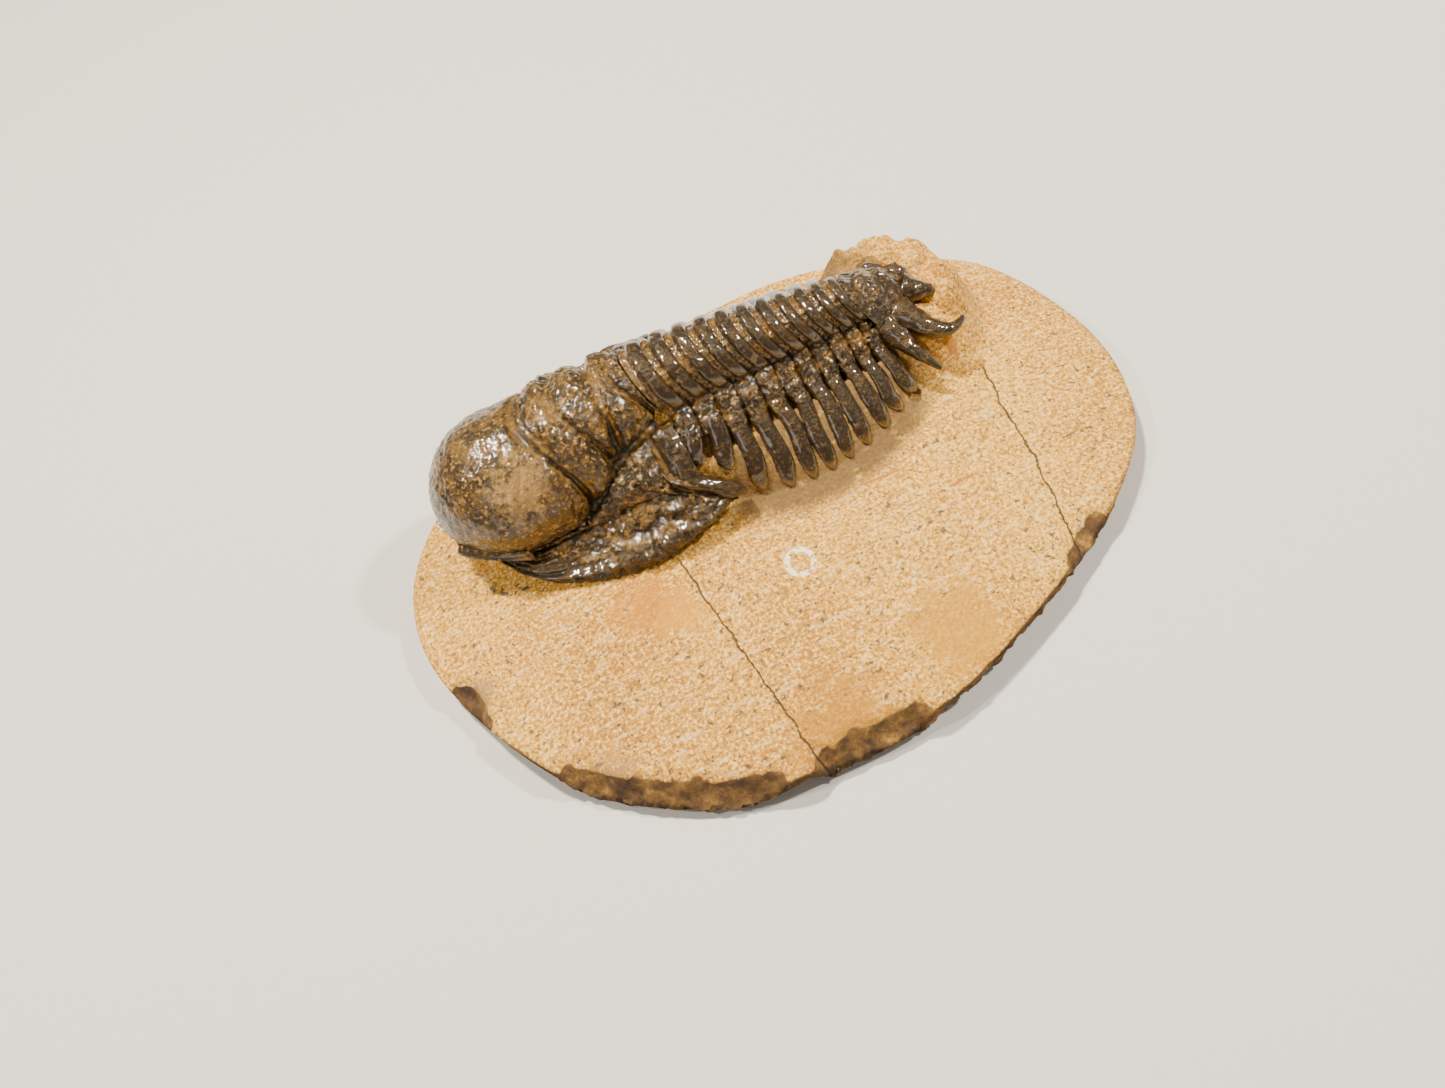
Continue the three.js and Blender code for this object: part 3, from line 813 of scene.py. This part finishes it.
def make_slab():
    bm = bmesh.new()
    verts = [bm.verts.new((radius, 0, level)) for radius, level in slab_profile()]
    edges = [bm.edges.new(pair) for pair in zip(verts, verts[1:])]
    bmesh.ops.spin(bm, geom=verts + edges, cent=(0, 0, 0), axis=(0, 0, 1), angle=math.tau,
                   steps=SPIN_STEPS, use_merge=True)
    bmesh.ops.remove_doubles(bm, verts=bm.verts[:], dist=1e-5)
    bm.verts.index_update()
    rims, coves = [], []
    for vert in bm.verts:
        angle = math.atan2(vert.co.y, vert.co.x)
        share = math.hypot(vert.co.x, vert.co.y)
        level = vert.co.z
        x, y, out = place_on_slab(angle, share)
        crag = broken(angle)
        cove = 0.0
        if level > 0.999:
            # cove is the share of painted shade between the blades and round their tips
            z, cove = stone_height(x, y, out)
            chip = chip_depth(x, y, out)
            z -= 0.4 * step(out, 0.98, 1.0) + chip * (1 + 0.35 * rough(Vector((x, y, 5.0)), 1.6))
            face = max(step(out, 0.985, 1.0) * lerp(0.3, 1.0, crag), step(chip, 0.1, 0.8))
        else:
            z = level * (SLAB_RIM_Z - RIM_EDGE)
            face = lerp(0.5, 0.95, crag)
            if out > 0.99:
                spot = Vector((x, y, z))
                z -= chip_depth(x, y, out) * level * 0.95
                bite = lerp(0.25, 0.8, crag) * (rough(spot, 3.0) + 0.5 * rough(spot, 1.0, 2) - 0.5)
                bite -= 0.9 * (1 - level) ** 3
                x += (x - SLAB_CENTRE.x) / BITE_RADIUS * bite
                y += (y - SLAB_CENTRE.y) / BITE_RADIUS * bite
        vert.co = Vector((x, y, z)) * MM
        rims.append(face)
        coves.append(cove)
    bmesh.ops.recalc_face_normals(bm, faces=bm.faces[:])
    return new_piece("limestone_slab", bm, rim=rims, cove=coves)


slab = make_slab()
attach(slab, "root")
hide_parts("limestone_matrix")
print("slab:", len(slab.data.vertices), "vertices")

# %% [markdown]
# ## Finishes
#
# One small function adds a node: settings go on the node, and each input is
# either filled with a value or linked to another node's output. Colours are
# written as the sRGB hex values that a painter would pick and are turned to
# the linear values that the renderer wants.
#
# A finish could be painted on an image, but then it would need an unwrapped
# surface and would blur close up. Here it is built up as a painter works, from
# a ground colour and thin coats laid over it. `lay` adds one coat, which
# fades in as a pattern passes from one value to another. A pattern is noise
# with a grain size in millimetres, or the distance from a line or a spot.

# %% Node and colour helpers
def linear(hex_code):
    values = [int(hex_code[i:i + 2], 16) / 255 for i in (1, 3, 5)]
    return tuple(c / 12.92 if c <= 0.04045 else ((c + 0.055) / 1.055) ** 2.4 for c in values) + (1.0,)


def add_node(tree, kind, inputs, output=0, **settings):
    node = tree.nodes.new(kind)
    for name, value in settings.items():
        setattr(node, name, value)
    for key, value in inputs.items():
        if isinstance(value, bpy.types.NodeSocket):
            tree.links.new(value, node.inputs[key])
        else:
            node.inputs[key].default_value = linear(value) if isinstance(value, str) else value
    return node.outputs[output] if node.outputs else None


def new_material(name):
    material = bpy.data.materials.new(name)
    material.use_nodes = True
    tree = material.node_tree
    tree.nodes.clear()
    return material, tree


def lay(tree, under, over, pattern, low, high, strength=1.0, fade="SMOOTHSTEP"):
    """Lay one colour on another, fading in as the pattern passes from low to high."""
    limits = {"Value": pattern, "From Min": low, "From Max": high, "To Max": strength}
    share = add_node(tree, "ShaderNodeMapRange", limits, interpolation_type=fade)
    return add_node(tree, "ShaderNodeMix", {0: share, 6: under, 7: over}, 2, data_type="RGBA")


def kept_where(tree, mask, pattern, far, near):
    """Keep a mask only where the pattern has passed from far to near."""
    limits = {"Value": pattern, "From Min": far, "From Max": near}
    fade = add_node(tree, "ShaderNodeMapRange", limits, interpolation_type="SMOOTHSTEP")
    return add_node(tree, "ShaderNodeMath", {0: mask, 1: fade}, operation="MULTIPLY")


def tones(tree, pattern, stops):
    """Run through several colours as the pattern rises."""
    colour = stops[0][1]
    for (low, _), (high, tint) in zip(stops, stops[1:]):
        colour = lay(tree, colour, tint, pattern, low, high, fade="LINEAR")
    return colour


def metres(point_mm):
    return [c * MM for c in point_mm]


def grain(place, size_mm, detail, roughness):
    return {"Vector": place, "Scale": 1 / (size_mm * MM), "Detail": detail, "Roughness": roughness}


# %% Ragged stains, used on the stone and on the shell, where one patch is also a painted highlight
def lay_stains_and_highlights(tree, colour, place, patchy, stains_and_highlights, strength):
    for centre, radius, tint in stains_and_highlights:
        apart = add_node(tree, "ShaderNodeVectorMath", {0: place, 1: metres(centre)}, "Value",
                         operation="DISTANCE")
        pull = {0: patchy, 1: -2.2 * radius * MM, 2: apart}
        ragged = add_node(tree, "ShaderNodeMath", pull, operation="MULTIPLY_ADD")
        colour = lay(tree, colour, tint, ragged, -0.05 * radius * MM, -0.8 * radius * MM, strength)
    return colour


# %% [markdown]
# ** Scraped limestone.** A fine limestone, worked down with an air scribe and a
# scraper. To the eye it is dead matt and warm beige, with dark specks, pale
# tool strokes all in one direction, a few rusty stains and a brown, weathered
# skin where the rim was broken and not scraped. The stone between the blades
# and in the cove round their tips is painted darker as painted shade. The real
# grains of lime mud are under a hundredth of a millimetre and would not show,
# so the grain is drawn at about half a millimetre.

# %% Limestone, the scraped ground
STONE_PATTERNS = {
    # grain size in mm, detail and roughness of the noise
    "broad": (22.0, 4.0, 0.6),
    "patchy": (2.6, 4.0, 0.65),
    "wander": (7.0, 6.0, 0.6),
    "specks": (0.8, 2.0, 0.55),
    "grain": (0.45, 3.0, 0.7),
}
STROKE_PATTERN = (0.55, 2.0, 0.6)
RUST_PATTERN = (1.3, 1.0, 0.6)
STROKE_TURN = math.radians(35)
STROKE_STRETCH = 0.16
STONE_TONES = [(0.3, "#ba7e1c"), (0.5, "#cc9026"), (0.7, "#d9a134")]
WEATHERED_TONES = [(0.3, "#24180c"), (0.45, "#4a3215"), (0.58, "#6b4c1e"), (0.75, "#a87d38")]


def scraped_ground(tree, place, seen):
    turned = {"Vector": place, "Rotation": (0, 0, STROKE_TURN), "Scale": (STROKE_STRETCH, 1.0, 1.0)}
    drawn = add_node(tree, "ShaderNodeMapping", turned)
    stroke = add_node(tree, "ShaderNodeTexNoise", grain(drawn, *STROKE_PATTERN))
    rust = add_node(tree, "ShaderNodeTexNoise", grain(drawn, *RUST_PATTERN))
    colour = tones(tree, seen["broad"], STONE_TONES)
    colour = lay(tree, colour, "#73521f", seen["grain"], 0.50, 0.38, 0.75)
    colour = lay(tree, colour, "#ffdb88", seen["grain"], 0.52, 0.64, 0.7)
    colour = lay(tree, colour, "#f3d8a2", stroke, 0.56, 0.68, 0.35)
    colour = lay(tree, colour, "#3f3a33", seen["specks"], 0.37, 0.32, 0.85)
    return lay(tree, colour, "#a9600f", rust, 0.75, 0.77, 0.8)


# %% Limestone, what happened to it
STAINS = [
    # centre in mm, radius in mm, colour
    ((-21.5, -7.5, 8.3), 5.8, "#b87400"),
    ((-17.5, -11.0, 8.3), 4.0, "#c98a10"),
    ((31.4, 6.1, 11.0), 2.2, "#a9620c"),
    ((-6.0, -33.5, 6.0), 8.5, "#a87000"),
    ((12.0, -29.0, 6.5), 8.5, "#b98210"),
    ((-46.5, -7.5, 5.5), 3.4, "#8a6a45"),
    ((-34.0, -26.0, 5.0), 4.0, "#9a7648"),
]
SCRATCHES = [
    # middle and radius of a circle scratched in the stone, middle and reach of
    # the part of it that shows, width of the line, all in mm, and its colour
    ((-1.3, -12.0, 8.4), 1.9, (-1.3, -12.0, 8.4), 9.0, 0.34, "#fff2cf"),
    ((-35.5, 7.7, 7.0), 4.3, (-37.6, 4.0, 7.0), 3.8, 0.30, "#2c3238"),
]
CRACKS = [
    # start and end in mm
    ((-15.5, -3.1), (-10.0, -39.0)),
    ((34.6, 4.5), (30.3, -27.0)),
]


def scratched(tree, colour, place, specks):
    for centre, radius, seen, reach, width, tint in SCRATCHES:
        from_middle, from_seen = (
            add_node(tree, "ShaderNodeVectorMath", {0: place, 1: metres(spot)}, "Value",
                     operation="DISTANCE")
            for spot in (centre, seen))
        off = add_node(tree, "ShaderNodeMath", {0: from_middle, 1: radius * MM}, operation="SUBTRACT")
        gap = add_node(tree, "ShaderNodeMath", {0: off}, operation="ABSOLUTE")
        mask = kept_where(tree, 1.0, gap, width * 1.4 * MM, width * 0.6 * MM)
        mask = kept_where(tree, mask, from_seen, reach * MM, reach * 0.85 * MM)
        mask = kept_where(tree, mask, specks, 0.44, 0.50)
        colour = lay(tree, colour, tint, mask, 0.0, 1.0, 0.85, "LINEAR")
    return colour


def crack_mask(tree, place, start, end, wander):
    """1 in a hairline crack that wanders from side to side of a straight line."""
    run = (Vector(end) - Vector(start)).normalized()
    origin = metres((*start, 0))
    offset = add_node(tree, "ShaderNodeVectorMath", {0: place, 1: origin}, operation="SUBTRACT")
    across, ahead = (
        add_node(tree, "ShaderNodeVectorMath", {0: offset, 1: axis}, "Value", operation="DOT_PRODUCT")
        for axis in ((run.y, -run.x, 0), (run.x, run.y, 0)))
    swing = {0: wander, 1: 3.2 * MM, 2: -1.6 * MM}
    sway = add_node(tree, "ShaderNodeMath", swing, operation="MULTIPLY_ADD")
    aside = add_node(tree, "ShaderNodeMath", {0: across, 1: sway}, operation="ADD")
    gap = add_node(tree, "ShaderNodeMath", {0: aside}, operation="ABSOLUTE")
    mask = kept_where(tree, 1.0, gap, 0.17 * MM, 0.06 * MM)
    return kept_where(tree, mask, ahead, 0.0, 1.5 * MM)


# %% Limestone, all together
def limestone():
    material, tree = new_material("scraped_limestone")
    place = add_node(tree, "ShaderNodeTexCoord", {}, "Object")
    seen = {key: add_node(tree, "ShaderNodeTexNoise", grain(place, *row))
            for key, row in STONE_PATTERNS.items()}
    colour = scraped_ground(tree, place, seen)
    colour = lay_stains_and_highlights(tree, colour, place, seen["patchy"], STAINS, 0.75)
    colour = scratched(tree, colour, place, seen["specks"])
    # painted shade: the stone between the blades and in the cove round their tips is darkened where shade
    # falls
    cove = add_node(tree, "ShaderNodeAttribute", {}, "Fac", attribute_name="cove")
    painted_cove_shade = kept_where(tree, cove, seen["patchy"], 0.2, 0.5)
    colour = lay(tree, colour, "#67502c", painted_cove_shade, 0.0, 1.0, 0.9, "LINEAR")
    rim = add_node(tree, "ShaderNodeAttribute", {}, "Fac", attribute_name="rim")
    worn = add_node(tree, "ShaderNodeMath", {0: rim, 1: seen["patchy"]}, operation="ADD")
    colour = lay(tree, colour, tones(tree, seen["patchy"], WEATHERED_TONES), worn, 0.85, 1.15)
    dents = add_node(tree, "ShaderNodeMath", {0: seen["grain"], 1: 0.45}, operation="MULTIPLY")
    for start, end in CRACKS:
        mask = crack_mask(tree, place, start, end, seen["wander"])
        colour = lay(tree, colour, "#2c241a", mask, 0.0, 1.0, 0.9, "LINEAR")
        dents = add_node(tree, "ShaderNodeMath", {0: dents, 1: mask}, operation="SUBTRACT")
    bump = add_node(tree, "ShaderNodeBump", {"Height": dents, "Strength": 0.8, "Distance": 0.4 * MM})
    shader = add_node(tree, "ShaderNodeBsdfPrincipled",
                      {"Base Color": colour, "Normal": bump, "Roughness": 0.9, "IOR": 1.5})
    add_node(tree, "ShaderNodeOutputMaterial", {"Surface": shader})
    return material


# %% [markdown]
# ** Fossil shell.** The shell is dark brown calcite, cleaned and then sealed
# with a clear lacquer. To the eye it is a deep brown that turns golden where
# the shell is thin, with sharp glints from the lacquer and a film of stone
# dust in the low places. The shader has both layers: rough calcite, whose
# shine is warm, and the lacquer as a coat. The `relief` attribute says where
# the dust lies and where the deepest grooves are painted near black as painted
# shade, and `shade` where the shell is smooth and dark. Pale patches are the
# shell's own tan, and the big one on the frontal lobe is partly a painted
# highlight as well. The grit is drawn at 0.6 mm, several times its real size,
# so that it shows.

# %% Shell
SHELL_PATTERNS = {
    # grain size in mm, detail and roughness of the noise
    "mottle": (2.6, 6.0, 0.7),
    "patchy": (1.6, 4.0, 0.7),
    "grit": (0.6, 3.0, 0.6),
}
PALE_PATCHES_AND_PAINTED_HIGHLIGHT = [
    # centre in mm, radius in mm, colour
    # the first, on the frontal lobe, is partly the shell's own tan and partly a painted highlight
    ((-29.5, 6.5, 22.0), 5.0, "#a07c48"),
    ((-16.9, 2.0, 14.5), 2.4, "#8f6c34"),
    ((-22.5, 13.5, 26.0), 2.6, "#7b5d33"),
]
ROUGHEST = 0.6


def shell_colour(tree, place, seen, shade, dark, middle, light):
    colour = tones(tree, seen["mottle"], [(0.36, dark), (0.50, middle), (0.66, light)])
    colour = lay_stains_and_highlights(tree, colour, place, seen["patchy"], PALE_PATCHES_AND_PAINTED_HIGHLIGHT, 0.7)
    colour = lay(tree, colour, "#15100a", seen["patchy"], 0.48, 0.36, 0.55)
    colour = lay(tree, colour, "#bd8d3f", seen["grit"], 0.54, 0.66, 0.55)
    colour = lay(tree, colour, "#1c1105", shade, 0.0, 1.0, 0.8, "LINEAR")
    relief = add_node(tree, "ShaderNodeAttribute", {}, "Fac", attribute_name="relief")
    uneven = {0: seen["patchy"], 1: 0.7, 2: relief}
    height = add_node(tree, "ShaderNodeMath", uneven, operation="MULTIPLY_ADD")
    colour = lay(tree, colour, "#7d5c26", height, 0.15, -0.15, 0.5)
    # painted shade: the deepest grooves and creases are painted near black
    return lay(tree, colour, "#1b140c", height, -0.25, -0.6, 0.8)


def shell_finish(name, dark, middle, light, smoothest, lacquer):
    material, tree = new_material(name)
    place = add_node(tree, "ShaderNodeTexCoord", {}, "Object")
    seen = {key: add_node(tree, "ShaderNodeTexNoise", grain(place, *row))
            for key, row in SHELL_PATTERNS.items()}
    shade = add_node(tree, "ShaderNodeAttribute", {}, "Fac", attribute_name="shade")
    gloss = add_node(tree, "ShaderNodeMapRange",
                     {"Value": seen["patchy"], "To Min": smoothest, "To Max": ROUGHEST})
    calm = add_node(tree, "ShaderNodeMath", {0: shade, 1: -0.75, 2: 1.0}, operation="MULTIPLY_ADD")
    ripple = add_node(tree, "ShaderNodeMath", {0: seen["patchy"], 1: calm}, operation="MULTIPLY")
    shader = add_node(tree, "ShaderNodeBsdfPrincipled", {
        "Base Color": shell_colour(tree, place, seen, shade, dark, middle, light),
        "Roughness": gloss,
        "Normal": add_node(tree, "ShaderNodeBump",
                           {"Height": seen["grit"], "Strength": 0.7, "Distance": 0.4 * MM}),
        "IOR": 1.5,
        "Specular IOR Level": 0.4,
        "Specular Tint": (1.0, 0.80, 0.52, 1.0),
        "Coat Weight": lacquer,
        "Coat Roughness": 0.05,
        "Coat IOR": 1.6,
        "Coat Normal": add_node(tree, "ShaderNodeBump",
                                {"Height": ripple, "Strength": 0.5, "Distance": 0.3 * MM}),
    })
    add_node(tree, "ShaderNodeOutputMaterial", {"Surface": shader})
    return material


# %% Put the finishes on
stone_finish = limestone()
head_finish = shell_finish("lacquered_calcite_head", "#120b04", "#33230a", "#70501f", 0.34, 0.75)
body_finish = shell_finish("lacquered_calcite_body", "#0e0803", "#281906", "#684614", 0.26, 1.0)
slab.data.materials.append(stone_finish)
for piece in SHELL_PIECES:
    on_head = piece.name.startswith(("cranidium", "free_cheek", "rostral"))
    piece.data.materials.append(head_finish if on_head else body_finish)
print("finishes:", [m.name for m in (stone_finish, head_finish, body_finish)])

# %% [markdown]
# ## Floor and light
#
# A plain card for a floor, one key lamp high behind the stone, a small lamp on
# each side for sharp glints on the lacquer, and a weak fill. A single big
# soft lamp would be simpler, but it would wash out the glints that show the
# lacquer and the long shadows that show the relief.

# %% Floor
floor_mesh = bmesh.new()
bmesh.ops.create_grid(floor_mesh, x_segments=1, y_segments=1, size=1.5)
floor = new_piece("floor", floor_mesh)
floor.location.z = -0.05 * MM
floor_finish, floor_tree = new_material("matt_card")
card = add_node(floor_tree, "ShaderNodeBsdfPrincipled", {"Base Color": "#cfccc6", "Roughness": 0.9})
add_node(floor_tree, "ShaderNodeOutputMaterial", {"Surface": card})
floor.data.materials.append(floor_finish)
print("floor:", [round(v, 2) for v in floor.dimensions], "m")

# %% Lamps
LAMPS = [
    # name, place in metres, size in metres, power in watts, colour
    ("key_lamp", (-0.08, 0.20, 0.52), 0.05, 6.6, (1.0, 0.90, 0.74)),
    ("side_lamp", (0.32, -0.05, 0.40), 0.03, 2.9, (1.0, 0.93, 0.82)),
    ("glint_lamp", (-0.24, 0.02, 0.34), 0.02, 0.9, (1.0, 0.93, 0.82)),
    ("fill_lamp", (-0.30, -0.45, 0.40), 0.3, 0.6, (1.0, 0.95, 0.88)),
]
LAMP_TARGET = Vector((0, 0, 0.01))
ROOM_COLOUR = (1.0, 0.95, 0.88, 1.0)
ROOM_STRENGTH = 0.22

for name, place, size, power, colour in LAMPS:
    light = bpy.data.lights.new(name, "AREA")
    light.shape = "DISK"
    light.size = size
    light.energy = power
    light.color = colour
    holder = bpy.data.objects.new(name, light)
    holder.location = place
    holder.rotation_euler = (LAMP_TARGET - Vector(place)).to_track_quat("-Z", "Y").to_euler()
    bpy.context.scene.collection.objects.link(holder)

world = bpy.data.worlds.new("soft_room")
bpy.context.scene.world = world
world.use_nodes = True
background = world.node_tree.nodes["Background"]
background.inputs["Color"].default_value = ROOM_COLOUR
background.inputs["Strength"].default_value = ROOM_STRENGTH
print("lamps:", [row[0] for row in LAMPS])
